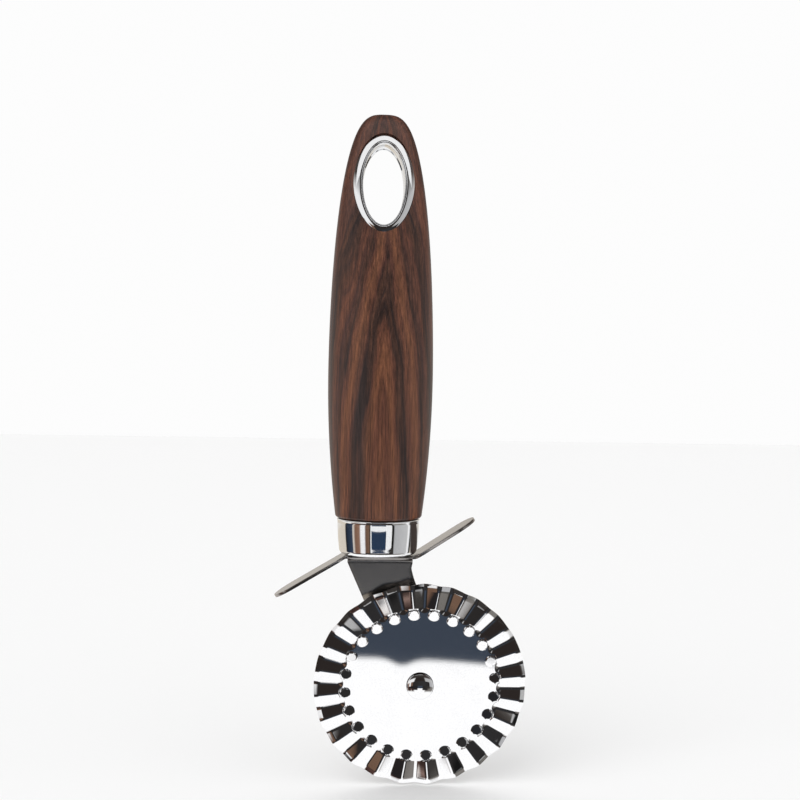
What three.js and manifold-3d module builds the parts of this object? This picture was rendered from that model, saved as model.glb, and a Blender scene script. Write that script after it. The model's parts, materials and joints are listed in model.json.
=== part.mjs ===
// Pastry cutter wheel: a fluted steel wheel on a stamped bracket with a finger
// guard, held in a moulded handle by a tang rod, with a chrome ferrule and a
// chrome hanging eyelet. Millimetres, +Z towards the top of the handle, +X to
// the side the wheel is offset to, -Y towards the side the wheel faces.
//
// Heights below are measured from the lower rim of the handle. The whole tool
// is then moved so that the origin is the point where a hook carries it: the
// middle of the eyelet's upper inner edge.

import * as THREE from 'three';
import { mergeVertices } from 'three/addons/utils/BufferGeometryUtils.js';
import Module from 'manifold-3d';

const wasm = await Module();
wasm.setup();

const GAP = 0.3; // left between pieces that touch
const CLEARANCE = GAP + 0.05; // around tapered or curved pieces, whose facets come closer
const OVERRUN = 1; // how far a cutting shape sticks out past the face it cuts
const SEAM_TOLERANCE = 0.01;

// Handle
const HANDLE_LENGTH = 124;
const BELLY_HEIGHT = 44;
const BELLY_HALF_WIDTH = 16.15;
const BELLY_HALF_DEPTH = 12.9;
const BELLY_TO_RIM_CURVE = 0.0015; // loss of half width per square millimetre below the belly
const TOP_HALF_DEPTH = 5;
const DEPTH_FALL_START = 30;
const DEPTH_FALL_END = 114;
const RIM_DEPTH_SHARE = 0.95; // depth over width at the rim and in the ferrule
const RIM_ROUND = 1;
const TIP_ROUND = 8;
const TIP_DEPTH_POWER = 0.45;
const STATIONS = [7, 15, 24, 34, 44, 54, 64, 74, 84, 92, 99, 105, 110, 114, 117, 119.5, 121.5, 123, 123.8];
const NOSE_POWER = 1.9;
const NOSE_ROOT = 0.32;
const ROUND_POWER = 2; // of the section low down, an ellipse
const FLAT_FACE_POWER = 2.8; // around the eyelet, an oblong with round corners
const SECTION_CHANGE_START = 55;
const SECTION_CHANGE_END = 100;
const SPIGOT_RADIUS = 11;
const SPIGOT_LENGTH = 9;

// Socket in the handle and the core that fills it
const SOCKET_MOUTH_RADIUS = 9;
const SOCKET_END_RADIUS = 7.5;
const SOCKET_END_HEIGHT = 70;
const SOCKET_END_DEPTH_SHARE = 0.8;
const CORE_TOP = 52;
const CORE_RIB_WIDTH = 4;
const CORE_POCKET_SIZE = 12;
const CORE_SOLID_FOOT = 4;

// Ferrule
const FERRULE_HEIGHT = 11.2;
const FERRULE_TOP_RADIUS = 12.6;
const FERRULE_BOTTOM_RADIUS = 12;
const FERRULE_INNER_RADIUS = SPIGOT_RADIUS + CLEARANCE;
const FERRULE_FLOOR = 1.6;
const FERRULE_FILLET = 1.5;
const FERRULE_LIP = 0.2;

// Eyelet bezels
const EYELET_HEIGHT = 101.8;
const EYELET_HALF_WIDTH = 9.5;
const EYELET_HALF_HEIGHT = 15.4;
const OPENING_HALF_WIDTH = 6.4;
const OPENING_HALF_HEIGHT = 12.5;
const BEZEL_TILT = THREE.MathUtils.degToRad(3.8);
const BEZEL_FACE = 6.1; // from the handle's middle plane to the bezel's front, at mid height
const BEZEL_THICKNESS = 2;
const BEZEL_BEVEL = 0.7;
const SLEEVE_WALL = 0.8;
const SLEEVE_STEP = 0.5; // the sleeve sits this far behind the bezel's inner edge

// Tang rod
const ROD_RADIUS = 3;
const ROD_TOP = 46;
const ROD_NECK_RADIUS = 2.5;
const ROD_HEAD_RADIUS = 3.5;
const ROD_HEAD_HEIGHT = 1.5;
const HEAD_STEPS = [[0, 1], [0.55, 0.87], [0.85, 0.6], [1, 0]]; // shares of a peened head's radius and height
const ROD_GROOVE_DEPTH = 0.4;
const ROD_GROOVE_WIDTH = 1.6;
const ROD_GROOVE_PITCH = 6;
const ROD_GROOVES = 6;
const ROD_FIRST_GROOVE = 6;
const ROD_TIP_CHAMFER = 1;

// Guard and neck, one sheet of steel
const SHEET = 0.9;
const GUARD_LEFT = -10;
const GUARD_RIGHT = 11;
const GUARD_HALF_DEPTH = 5.5;
const LEFT_WING = { length: 24.8, slope: -30.6 };
const RIGHT_WING = { length: 22.1, slope: 32.6 };
const WING_TIP_TAPER = 7;
const WING_TIP_FULLNESS = 1.5; // how near the tip its curves keep the full depth
const WING_TIP_SHARE = 0.45;
const BEND_INNER_RADIUS = 0.6;
const LEAN = THREE.MathUtils.degToRad(10.5); // the neck leans back so the wheel meets the handle's axis
const NECK_LEFT = -9.35;
const NECK_RIGHT = 10.45;
const NECK_WAIST = { x: 10.15, drop: 1.6 };
const NECK_WAIST_CURVE = { x: 10.3, drop: 4 };
const NECK_SHOULDER = { x: 11.75, drop: 7.1 };
const NECK_END_RADIUS = 5.8;
const AXLE_OFFSET = 13.6; // from the handle's axis
const AXLE_DROP = 38.7; // down the neck from its fold

// Wheel, on an axle square to the neck
const WHEEL_RADIUS = 32.7;
const WHEEL_STANDOFF = 2.8; // between the middle planes of neck and wheel
const WHEEL_SHEET = 0.8;
const WHEEL_BORE_RADIUS = 2.25;
const FLUTES = 24;
const FLUTE_FACETS = 4;
const FLUTE_DEPTH = 0.55; // each side of the wheel's middle plane
const FIRST_CREST = 9; // degrees clockwise from the top, seen from the front
const FLUTE_START_RADIUS = 21.6;
const FLUTE_RAMP = 3;
const EDGE_BEVEL = 1.3;
const EDGE_THICKNESS = 0.3;

// Axle rivet and its washers
const SHANK_RADIUS = 2.1;
const RIVET_HEAD_RADIUS = 4.2;
const RIVET_HEAD_HEIGHT = 1.7;
const RIVET_TAIL_RADIUS = 3.3;
const RIVET_TAIL_HEIGHT = 1.1;
const DOME_STEPS = 4;
const SPACER_RADIUS = 5;
const REAR_WASHER_RADIUS = 4.6;
const REAR_WASHER_THICKNESS = 0.8;
const WASHER_BORE_RADIUS = 2.4;

// Levels that follow from the sizes above
const GUARD_TOP = -FERRULE_HEIGHT - GAP;
const GUARD_BOTTOM = GUARD_TOP - SHEET;
const BEND_RADIUS = BEND_INNER_RADIUS + SHEET / 2;
const BEND_HEIGHT = GUARD_TOP - SHEET / 2 - BEND_RADIUS;
const BEND_DEPTH = -GUARD_HALF_DEPTH + BEND_RADIUS + SHEET / 2;
const HOOK_HEIGHT = EYELET_HEIGHT + OPENING_HALF_HEIGHT;

const colours = {
  wood: { color: 0x4a2416, roughness: 0.45, metalness: 0 },
  plastic: { color: 0x1d1b1a, roughness: 0.6, metalness: 0 },
  chrome: { color: 0xd8dadc, roughness: 0.08, metalness: 1 },
  polishedSteel: { color: 0xc4c5c6, roughness: 0.15, metalness: 1 },
  satinSteel: { color: 0x77726c, roughness: 0.35, metalness: 1 },
  nylon: { color: 0xe6e3da, roughness: 0.5, metalness: 0 },
};

// ---- joining and cutting -------------------------------------------------

// A closed geometry as a solid that can be joined and cut.
function solid(geometry) {
  const bare = geometry.clone();
  bare.deleteAttribute('normal');
  bare.deleteAttribute('uv');
  const merged = mergeVertices(bare, 1e-4);
  const triangles = [];
  const index = merged.index.array;
  for (let i = 0; i < index.length; i += 3) {
    const [a, b, c] = [index[i], index[i + 1], index[i + 2]];
    if (a !== b && b !== c && c !== a) triangles.push(a, b, c);
  }
  return new wasm.Manifold(new wasm.Mesh({
    numProp: 3,
    vertProperties: new Float32Array(merged.attributes.position.array),
    triVerts: new Uint32Array(triangles),
  }));
}

// The joined or cut solid as a geometry, without the slivers left along its seams.
function geometryOf(shape) {
  const mesh = shape.asOriginal().simplify(SEAM_TOLERANCE).getMesh();
  const geometry = new THREE.BufferGeometry();
  geometry.setAttribute('position', new THREE.BufferAttribute(mesh.vertProperties, 3));
  geometry.setIndex(new THREE.BufferAttribute(mesh.triVerts, 1));
  geometry.computeVertexNormals();
  return geometry;
}

function cut(body, ...tools) {
  return tools.reduce((rest, tool) => rest.subtract(tool), body);
}

function joined(first, ...others) {
  return others.reduce((whole, other) => whole.add(other), first);
}

// ---- basic shapes --------------------------------------------------------

// A profile of [radius, height] pairs turned about Z.
function turned(profile, segments) {
  const points = profile.map(([radius, height]) => new THREE.Vector2(radius, height));
  return new THREE.LatheGeometry(points, segments).rotateX(Math.PI / 2);
}

// Quarter circle from [radius, height] pairs, swept from one angle to another.
function arc(radius, height, size, from, to, steps) {
  const points = [];
  for (let i = 0; i <= steps; i += 1) {
    const angle = THREE.MathUtils.degToRad(from + ((to - from) * i) / steps);
    points.push([radius + size * Math.cos(angle), height + size * Math.sin(angle)]);
  }
  return points;
}

// An upright cylinder between two heights.
function pin(radius, from, to, segments = 32) {
  return turned([[0, from], [radius, from], [radius, to], [0, to]], segments);
}

// A flat ring between two heights.
function ring(inner, outer, from, to, segments) {
  return turned([[inner, from], [outer, from], [outer, to], [inner, to], [inner, from]], segments);
}

// An oval prism through the handle, from front to back between two depths.
function ovalPrism(halfWidth, halfHeight, from, to) {
  const oval = new THREE.Shape().absellipse(0, 0, halfWidth, halfHeight, 0, 2 * Math.PI);
  const prism = new THREE.ExtrudeGeometry(oval, {
    depth: to - from,
    bevelEnabled: false,
    curveSegments: 22,
  });
  return prism.rotateX(Math.PI / 2).translate(0, to, 0);
}

function smoothstep(value, from, to) {
  return THREE.MathUtils.smoothstep(value, from, to);
}

// ---- handle --------------------------------------------------------------

function handleHalfWidth(height) {
  if (height < BELLY_HEIGHT) {
    return BELLY_HALF_WIDTH - BELLY_TO_RIM_CURVE * (BELLY_HEIGHT - height) ** 2;
  }
  const along = (height - BELLY_HEIGHT) / (HANDLE_LENGTH - BELLY_HEIGHT);
  return BELLY_HALF_WIDTH * Math.max(0, 1 - along ** NOSE_POWER) ** NOSE_ROOT;
}

function handleHalfDepth(height) {
  const rimHalfDepth = RIM_DEPTH_SHARE * handleHalfWidth(0);
  const lower = THREE.MathUtils.lerp(rimHalfDepth, BELLY_HALF_DEPTH, smoothstep(height, 0, DEPTH_FALL_START));
  const fall = smoothstep(height, DEPTH_FALL_START, DEPTH_FALL_END);
  const past = Math.max(0, height - (HANDLE_LENGTH - TIP_ROUND)) / TIP_ROUND;
  return THREE.MathUtils.lerp(lower, TOP_HALF_DEPTH, fall) * Math.max(0, 1 - past ** 2) ** TIP_DEPTH_POWER;
}

// Presses a round turning into the handle's section: an ellipse low down, and
// a rounder-cornered oblong around the eyelet.
function pressed(geometry) {
  const position = geometry.attributes.position;
  for (let i = 0; i < position.count; i += 1) {
    const [x, y, height] = [position.getX(i), position.getY(i), position.getZ(i)];
    const radius = Math.hypot(x, y);
    if (radius < 1e-6) continue;
    const width = handleHalfWidth(Math.max(0, height));
    const share = height <= 0 ? RIM_DEPTH_SHARE : handleHalfDepth(height) / Math.max(width, 1e-6);
    const change = smoothstep(height, SECTION_CHANGE_START, SECTION_CHANGE_END);
    const power = THREE.MathUtils.lerp(ROUND_POWER, FLAT_FACE_POWER, change);
    const squared = (part) => Math.sign(part) * Math.abs(part / radius) ** (ROUND_POWER / power) * radius;
    position.setXY(i, squared(x), squared(y) * share);
  }
  return geometry;
}

function handleProfile() {
  const rimRadius = handleHalfWidth(RIM_ROUND);
  return [
    [0, -SPIGOT_LENGTH],
    [SPIGOT_RADIUS, -SPIGOT_LENGTH],
    [SPIGOT_RADIUS, 0],
    ...arc(rimRadius - RIM_ROUND, RIM_ROUND, RIM_ROUND, -90, 0, 3),
    ...STATIONS.map((height) => [handleHalfWidth(height), height]),
    [0, HANDLE_LENGTH],
  ];
}

// The tapered socket, or the core that fills it when it is drawn in by an inset.
function socketPlug(inset, from, to, segments) {
  const radiusAt = (height) => THREE.MathUtils.mapLinear(
    height, -SPIGOT_LENGTH, SOCKET_END_HEIGHT, SOCKET_MOUTH_RADIUS, SOCKET_END_RADIUS) - inset;
  const plug = turned([[0, from], [radiusAt(from), from], [radiusAt(to), to], [0, to]], segments);
  const position = plug.attributes.position;
  for (let i = 0; i < position.count; i += 1) {
    const along = smoothstep(position.getZ(i), -SPIGOT_LENGTH, SOCKET_END_HEIGHT);
    position.setY(i, position.getY(i) * THREE.MathUtils.lerp(1, SOCKET_END_DEPTH_SHARE, along));
  }
  return plug;
}

// The recess that a bezel drops into, on the front or, turned round, on the back.
function bezelSeat() {
  const seat = ovalPrism(
    EYELET_HALF_WIDTH + CLEARANCE, EYELET_HALF_HEIGHT + CLEARANCE, -BELLY_HALF_DEPTH, 0);
  return seat.rotateX(-BEZEL_TILT).translate(0, -BEZEL_FACE + BEZEL_THICKNESS + CLEARANCE, EYELET_HEIGHT);
}

function handleBody() {
  const hole = ovalPrism(
    OPENING_HALF_WIDTH + SLEEVE_STEP + SLEEVE_WALL + GAP,
    OPENING_HALF_HEIGHT + SLEEVE_STEP + SLEEVE_WALL + GAP,
    -BELLY_HALF_DEPTH, BELLY_HALF_DEPTH).translate(0, 0, EYELET_HEIGHT);
  return geometryOf(cut(
    solid(pressed(turned(handleProfile(), 48))),
    solid(socketPlug(0, -SPIGOT_LENGTH - OVERRUN, SOCKET_END_HEIGHT, 32)),
    solid(hole),
    solid(bezelSeat()),
    solid(bezelSeat().rotateZ(Math.PI)),
  ));
}

function handleCore() {
  const foot = -SPIGOT_LENGTH + GAP;
  const plug = solid(socketPlug(CLEARANCE, foot, CORE_TOP, 32));
  const bore = solid(pin(ROD_RADIUS + GAP, foot - OVERRUN, CORE_TOP + OVERRUN, 24));
  const pockets = [];
  for (const side of [-1, 1]) {
    for (const face of [-1, 1]) {
      const pocket = new THREE.BoxGeometry(CORE_POCKET_SIZE, CORE_POCKET_SIZE, CORE_TOP - foot);
      const away = CORE_POCKET_SIZE / 2 + CORE_RIB_WIDTH;
      pocket.translate(side * away, face * away, (CORE_TOP + foot) / 2 + CORE_SOLID_FOOT);
      pockets.push(solid(pocket));
    }
  }
  return geometryOf(cut(plug, bore, ...pockets));
}

// ---- ferrule -------------------------------------------------------------

function ferrule() {
  const top = -GAP;
  const bottom = -FERRULE_HEIGHT;
  const bore = ROD_RADIUS + CLEARANCE;
  const profile = [
    [bore, bottom],
    ...arc(FERRULE_BOTTOM_RADIUS - FERRULE_FILLET, bottom + FERRULE_FILLET, FERRULE_FILLET, -90, 0, 4),
    [FERRULE_TOP_RADIUS, top - 3 * FERRULE_LIP],
    [FERRULE_TOP_RADIUS + FERRULE_LIP, top - 2 * FERRULE_LIP],
    [FERRULE_TOP_RADIUS + FERRULE_LIP, top],
    [FERRULE_INNER_RADIUS, top],
    [FERRULE_INNER_RADIUS, bottom + FERRULE_FLOOR],
    [bore, bottom + FERRULE_FLOOR],
    [bore, bottom],
  ];
  return pressed(turned(profile, 48));
}

// ---- eyelet --------------------------------------------------------------

// A bevelled oval ring that follows the slope of the handle's face, with a
// sleeve that lines half of the hole. The rear one is the same piece, reversed.
function eyeletBezel() {
  const outline = new THREE.Shape().absellipse(
    0, 0, EYELET_HALF_WIDTH - BEZEL_BEVEL, EYELET_HALF_HEIGHT - BEZEL_BEVEL, 0, 2 * Math.PI);
  outline.holes.push(new THREE.Path().absellipse(
    0, 0, OPENING_HALF_WIDTH + BEZEL_BEVEL, OPENING_HALF_HEIGHT + BEZEL_BEVEL, 0, 2 * Math.PI));
  const face = new THREE.ExtrudeGeometry(outline, {
    depth: BEZEL_THICKNESS - 2 * BEZEL_BEVEL,
    bevelThickness: BEZEL_BEVEL,
    bevelSize: BEZEL_BEVEL,
    bevelSegments: 2,
    curveSegments: 20,
  });
  face.translate(0, 0, BEZEL_BEVEL).rotateX(Math.PI / 2);
  face.translate(0, BEZEL_THICKNESS, 0).rotateX(-BEZEL_TILT).translate(0, -BEZEL_FACE, EYELET_HEIGHT);

  const innerWidth = OPENING_HALF_WIDTH + SLEEVE_STEP;
  const innerHeight = OPENING_HALF_HEIGHT + SLEEVE_STEP;
  const sleeveFront = -BEZEL_FACE + BEZEL_THICKNESS / 2;
  const long = BEZEL_FACE; // the sleeve starts too long and is trimmed to the slope of the face
  const trim = new THREE.BoxGeometry(4 * innerWidth, 2 * long, 4 * innerHeight).translate(0, -long, 0);
  const sleeve = cut(
    solid(ovalPrism(innerWidth + SLEEVE_WALL, innerHeight + SLEEVE_WALL, sleeveFront - long, -GAP / 2)),
    solid(ovalPrism(innerWidth, innerHeight, sleeveFront - long - OVERRUN, OVERRUN)),
    solid(trim.rotateX(-BEZEL_TILT).translate(0, sleeveFront, 0)),
  ).translate(0, 0, EYELET_HEIGHT);
  return geometryOf(joined(solid(face), sleeve));
}

// ---- tang rod ------------------------------------------------------------

// Grooved in the core, stepped through the guard, and peened under it.
function tangRod() {
  const headTop = GUARD_BOTTOM - GAP;
  const shoulder = GUARD_TOP + GAP;
  const profile = [
    ...HEAD_STEPS.map(([radiusShare, heightShare]) => [
      ROD_HEAD_RADIUS * radiusShare, headTop - ROD_HEAD_HEIGHT * heightShare]),
    [ROD_NECK_RADIUS, headTop],
    [ROD_NECK_RADIUS, shoulder],
    [ROD_RADIUS, shoulder],
  ];
  for (let i = 0; i < ROD_GROOVES; i += 1) {
    const start = ROD_FIRST_GROOVE + i * ROD_GROOVE_PITCH;
    const middle = start + ROD_GROOVE_WIDTH / 2;
    profile.push([ROD_RADIUS, start], [ROD_RADIUS - ROD_GROOVE_DEPTH, middle]);
    profile.push([ROD_RADIUS, start + ROD_GROOVE_WIDTH]);
  }
  profile.push(
    [ROD_RADIUS, ROD_TOP - ROD_TIP_CHAMFER],
    [ROD_RADIUS - ROD_TIP_CHAMFER, ROD_TOP],
    [0, ROD_TOP]);
  return turned(profile, 20);
}

// ---- guard and neck ------------------------------------------------------

// A leaf-ended wing of the guard, bent about a line at its root.
function wing(rootX, side, { length, slope }) {
  const straight = length - WING_TIP_TAPER;
  const leaf = new THREE.Shape();
  leaf.moveTo(0, -GUARD_HALF_DEPTH);
  leaf.lineTo(straight, -GUARD_HALF_DEPTH);
  const full = length - WING_TIP_FULLNESS;
  const part = WING_TIP_SHARE * GUARD_HALF_DEPTH;
  leaf.bezierCurveTo(full, -GUARD_HALF_DEPTH, length, -part, length, 0);
  leaf.bezierCurveTo(length, part, full, GUARD_HALF_DEPTH, straight, GUARD_HALF_DEPTH);
  leaf.lineTo(0, GUARD_HALF_DEPTH);
  const plate = new THREE.ExtrudeGeometry(leaf, { depth: SHEET, bevelEnabled: false, curveSegments: 8 });
  plate.translate(0, 0, -SHEET / 2);
  if (side < 0) plate.rotateZ(Math.PI);
  plate.rotateY(-side * THREE.MathUtils.degToRad(slope));
  const middle = GUARD_TOP - SHEET / 2;
  const bend = pin(SHEET / 2, -GUARD_HALF_DEPTH, GUARD_HALF_DEPTH, 16).rotateX(Math.PI / 2);
  return joined(solid(plate.translate(rootX, 0, middle)), solid(bend.translate(rootX, 0, middle)));
}

// The quarter turn and a bit between the guard's front edge and the neck.
function neckFold() {
  const outer = BEND_RADIUS + SHEET / 2;
  const section = new THREE.Shape();
  section.absarc(BEND_DEPTH, BEND_HEIGHT, outer, Math.PI / 2, Math.PI + LEAN, false);
  section.absarc(BEND_DEPTH, BEND_HEIGHT, BEND_INNER_RADIUS, Math.PI + LEAN, Math.PI / 2, true);
  const fold = new THREE.ExtrudeGeometry(section, {
    depth: NECK_RIGHT - NECK_LEFT,
    bevelEnabled: false,
    curveSegments: 8,
  });
  const lengthwise = new THREE.Matrix4().makeBasis(
    new THREE.Vector3(0, 1, 0), new THREE.Vector3(0, 0, 1), new THREE.Vector3(1, 0, 0));
  return solid(fold.applyMatrix4(lengthwise).translate(NECK_LEFT, 0, 0));
}

// The side of the neck as a line from a point that just touches its round end.
function tangentPoint(x, drop, side) {
  const toAxle = new THREE.Vector2(AXLE_OFFSET - x, AXLE_DROP - drop);
  const turn = Math.asin(NECK_END_RADIUS / toAxle.length());
  const along = Math.sqrt(toAxle.lengthSq() - NECK_END_RADIUS ** 2);
  const direction = toAxle.normalize().rotateAround(new THREE.Vector2(), side * turn);
  return { x: x + direction.x * along, drop: drop + direction.y * along };
}

function neckPlate() {
  const left = tangentPoint(NECK_LEFT, 0, 1);
  const right = tangentPoint(NECK_SHOULDER.x, NECK_SHOULDER.drop, -1);
  const angleOf = (point) => Math.atan2(AXLE_DROP - point.drop, point.x - AXLE_OFFSET);
  const outline = new THREE.Shape();
  outline.moveTo(NECK_RIGHT, 0);
  outline.lineTo(NECK_LEFT, 0);
  outline.lineTo(left.x, -left.drop);
  outline.absarc(AXLE_OFFSET, -AXLE_DROP, NECK_END_RADIUS, angleOf(left), angleOf(right), false);
  outline.lineTo(NECK_SHOULDER.x, -NECK_SHOULDER.drop);
  outline.quadraticCurveTo(NECK_WAIST_CURVE.x, -NECK_WAIST_CURVE.drop, NECK_WAIST.x, -NECK_WAIST.drop);
  outline.lineTo(NECK_RIGHT, 0);
  outline.holes.push(new THREE.Path().absarc(AXLE_OFFSET, -AXLE_DROP, WASHER_BORE_RADIUS, 0, 2 * Math.PI));
  const plate = new THREE.ExtrudeGeometry(outline, { depth: SHEET, bevelEnabled: false, curveSegments: 12 });
  plate.translate(0, 0, -SHEET / 2).rotateX(Math.PI / 2 + LEAN);
  return solid(plate.translate(0, neckTop().y, neckTop().z));
}

// Where the neck's middle plane leaves its fold.
function neckTop() {
  return new THREE.Vector3(
    0, BEND_DEPTH - BEND_RADIUS * Math.cos(LEAN), BEND_HEIGHT - BEND_RADIUS * Math.sin(LEAN));
}

function guardBracket() {
  const width = GUARD_RIGHT - GUARD_LEFT;
  const straightDepth = GUARD_HALF_DEPTH - BEND_DEPTH;
  const middle = new THREE.BoxGeometry(width, straightDepth, SHEET);
  middle.translate(GUARD_LEFT + width / 2, BEND_DEPTH + straightDepth / 2, GUARD_TOP - SHEET / 2);
  return geometryOf(cut(
    joined(
      solid(middle),
      wing(GUARD_LEFT, -1, LEFT_WING),
      wing(GUARD_RIGHT, 1, RIGHT_WING),
      neckFold(),
      neckPlate(),
    ),
    solid(pin(ROD_NECK_RADIUS + GAP, GUARD_BOTTOM - OVERRUN, GUARD_TOP + OVERRUN, 24)),
  ));
}

// ---- wheel and axle, built along their own axis --------------------------
// Here Z runs forward along the axle from the neck's middle plane.

// How far the sheet swings to the front (1) or the back (-1) at a point.
function fluteSwing(radius, x, y) {
  const ramp = smoothstep(radius, FLUTE_START_RADIUS, FLUTE_START_RADIUS + FLUTE_RAMP);
  const clockwise = Math.atan2(x, y) - THREE.MathUtils.degToRad(FIRST_CREST);
  return ramp * Math.sign(Math.cos(FLUTES * clockwise));
}

// A flat disc pressed into flutes.
function flutedWheel() {
  const half = WHEEL_SHEET / 2;
  const edge = EDGE_THICKNESS / 2;
  const radii = [
    WHEEL_BORE_RADIUS,
    FLUTE_START_RADIUS,
    FLUTE_START_RADIUS + FLUTE_RAMP / 2,
    FLUTE_START_RADIUS + FLUTE_RAMP,
    WHEEL_RADIUS - EDGE_BEVEL,
  ];
  const back = radii.map((radius) => [radius, -half]);
  const front = radii.map((radius) => [radius, half]).reverse();
  const profile = [...back, [WHEEL_RADIUS, -edge], [WHEEL_RADIUS, edge], ...front, back[0]];
  const facet = 360 / FLUTES / FLUTE_FACETS;
  const disc = turned(profile, FLUTE_FACETS * FLUTES);
  disc.rotateZ(THREE.MathUtils.degToRad(-FIRST_CREST - facet / 2));
  const position = disc.attributes.position;
  for (let i = 0; i < position.count; i += 1) {
    const [x, y] = [position.getX(i), position.getY(i)];
    const swing = FLUTE_DEPTH * fluteSwing(Math.hypot(x, y), x, y);
    position.setZ(i, position.getZ(i) + swing + WHEEL_STANDOFF);
  }
  return disc;
}

function axleRivet() {
  const headBase = WHEEL_STANDOFF + WHEEL_SHEET / 2 + GAP;
  const tailBase = -SHEET / 2 - 2 * GAP - REAR_WASHER_THICKNESS;
  const dome = (radius, base, height) => {
    const points = [];
    for (let i = 1; i <= DOME_STEPS; i += 1) {
      const angle = (i / DOME_STEPS) * (Math.PI / 2);
      points.push([radius * Math.cos(angle), base + height * Math.sin(angle)]);
    }
    return points;
  };
  const tail = dome(RIVET_TAIL_RADIUS, tailBase, -RIVET_TAIL_HEIGHT).reverse();
  return turned([
    ...tail,
    [RIVET_TAIL_RADIUS, tailBase],
    [SHANK_RADIUS, tailBase],
    [SHANK_RADIUS, headBase],
    [RIVET_HEAD_RADIUS, headBase],
    ...dome(RIVET_HEAD_RADIUS, headBase, RIVET_HEAD_HEIGHT),
  ], 32);
}

function wheelSpacer() {
  const front = WHEEL_STANDOFF - WHEEL_SHEET / 2 - GAP;
  return ring(WASHER_BORE_RADIUS, SPACER_RADIUS, SHEET / 2 + GAP, front, 32);
}

function rearWasher() {
  const front = -SHEET / 2 - GAP;
  return ring(WASHER_BORE_RADIUS, REAR_WASHER_RADIUS, front - REAR_WASHER_THICKNESS, front, 32);
}

// ---- the assembly --------------------------------------------------------

function piece(name, geometry, finish) {
  const mesh = new THREE.Mesh(geometry, new THREE.MeshStandardMaterial(colours[finish]));
  mesh.name = name;
  return mesh;
}

const handle = new THREE.Group();
handle.add(
  piece('handle_body', handleBody(), 'wood'),
  piece('handle_core', handleCore(), 'plastic'),
  piece('ferrule', ferrule(), 'chrome'),
  piece('tang_rod', tangRod(), 'satinSteel'),
  piece('eyelet_front', eyeletBezel(), 'chrome'),
);
const eyeletRear = piece('eyelet_rear', eyeletBezel(), 'chrome');
eyeletRear.rotation.z = Math.PI;
handle.add(eyeletRear, piece('guard_bracket', guardBracket(), 'satinSteel'));

// The axle stands on the neck, so it leans down with it.
const axle = new THREE.Group();
axle.rotation.x = Math.PI / 2 + LEAN;
axle.position.set(
  AXLE_OFFSET,
  neckTop().y + AXLE_DROP * Math.sin(LEAN),
  neckTop().z - AXLE_DROP * Math.cos(LEAN));
axle.add(
  piece('wheel', flutedWheel(), 'polishedSteel'),
  piece('axle_rivet', axleRivet(), 'polishedSteel'),
  piece('wheel_spacer', wheelSpacer(), 'nylon'),
  piece('rear_washer', rearWasher(), 'satinSteel'),
);

const cutter = new THREE.Group();
cutter.add(handle, axle);
cutter.position.z = -HOOK_HEIGHT;

export default cutter;
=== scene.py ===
import json
import math

import bpy
from mathutils import Matrix, Vector


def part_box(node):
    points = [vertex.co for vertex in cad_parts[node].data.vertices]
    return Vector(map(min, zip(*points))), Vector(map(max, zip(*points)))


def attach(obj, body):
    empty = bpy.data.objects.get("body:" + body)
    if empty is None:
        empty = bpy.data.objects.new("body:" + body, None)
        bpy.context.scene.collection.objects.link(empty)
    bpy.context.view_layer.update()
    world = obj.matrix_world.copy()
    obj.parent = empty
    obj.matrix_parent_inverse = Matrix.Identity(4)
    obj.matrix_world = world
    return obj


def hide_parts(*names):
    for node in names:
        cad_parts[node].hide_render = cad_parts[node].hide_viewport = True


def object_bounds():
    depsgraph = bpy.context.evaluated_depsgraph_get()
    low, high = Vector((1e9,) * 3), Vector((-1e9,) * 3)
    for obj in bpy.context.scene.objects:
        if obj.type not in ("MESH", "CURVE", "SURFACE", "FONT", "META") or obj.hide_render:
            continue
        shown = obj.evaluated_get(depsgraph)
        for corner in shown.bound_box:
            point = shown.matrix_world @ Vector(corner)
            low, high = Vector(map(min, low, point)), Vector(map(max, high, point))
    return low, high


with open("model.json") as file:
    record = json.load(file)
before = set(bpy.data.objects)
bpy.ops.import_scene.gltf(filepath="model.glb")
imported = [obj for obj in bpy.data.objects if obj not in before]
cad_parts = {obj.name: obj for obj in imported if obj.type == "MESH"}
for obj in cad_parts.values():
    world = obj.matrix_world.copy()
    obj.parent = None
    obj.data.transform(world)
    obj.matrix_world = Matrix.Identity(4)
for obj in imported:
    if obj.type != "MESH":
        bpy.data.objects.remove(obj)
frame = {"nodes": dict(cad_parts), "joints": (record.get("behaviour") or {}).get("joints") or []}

# Pastry wheel: fluted steel wheel on a folded bracket, wood-look handle, chrome trim.
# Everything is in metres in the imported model's frame; mm() keeps the sizes readable.

cadBox = [list(corner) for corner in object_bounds()]
bpy.context.scene.view_settings.view_transform = "Standard"


def mm(value):
    return value / 1000


def lerp(low, high, share):
    return low + (high - low) * share


def smoothstep(value, low, high):
    share = min(1, max(0, (value - low) / (high - low)))
    return share * share * (3 - 2 * share)


# Places taken from the frame
touchGap = mm(0.3)                                   # what neighbouring pieces keep between them
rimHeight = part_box("ferrule")[1].z + touchGap        # the handle's lower rim
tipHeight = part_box("handle_body")[1].z
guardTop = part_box("ferrule")[0].z - touchGap
spin = frame["joints"][0]
wheelCentre = Vector(spin["pos_m"])
axleAxis = Vector(spin["axis"]).normalized()         # points forward, out of the wheel's face
across = Vector((1, 0, 0))
wheelUp = axleAxis.cross(across)
axleFrame = Matrix((across, wheelUp, axleAxis)).transposed().to_4x4()
axleFrame.translation = wheelCentre
print("frame loaded: rim", round(rimHeight, 4), "tip", round(tipHeight, 4))


cameraSetup = {
    "azimuth": -3.0,        # degrees round the tool
    "roll": 0.9,            # degrees, the tool's top leans right
    "distance": 0.3394,
    "lens": 49.5,
    "aimSide": 0.0061,      # to the wheel's side of the handle
    "aimHeight": 0.0361,    # above the handle's rim
}


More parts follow.
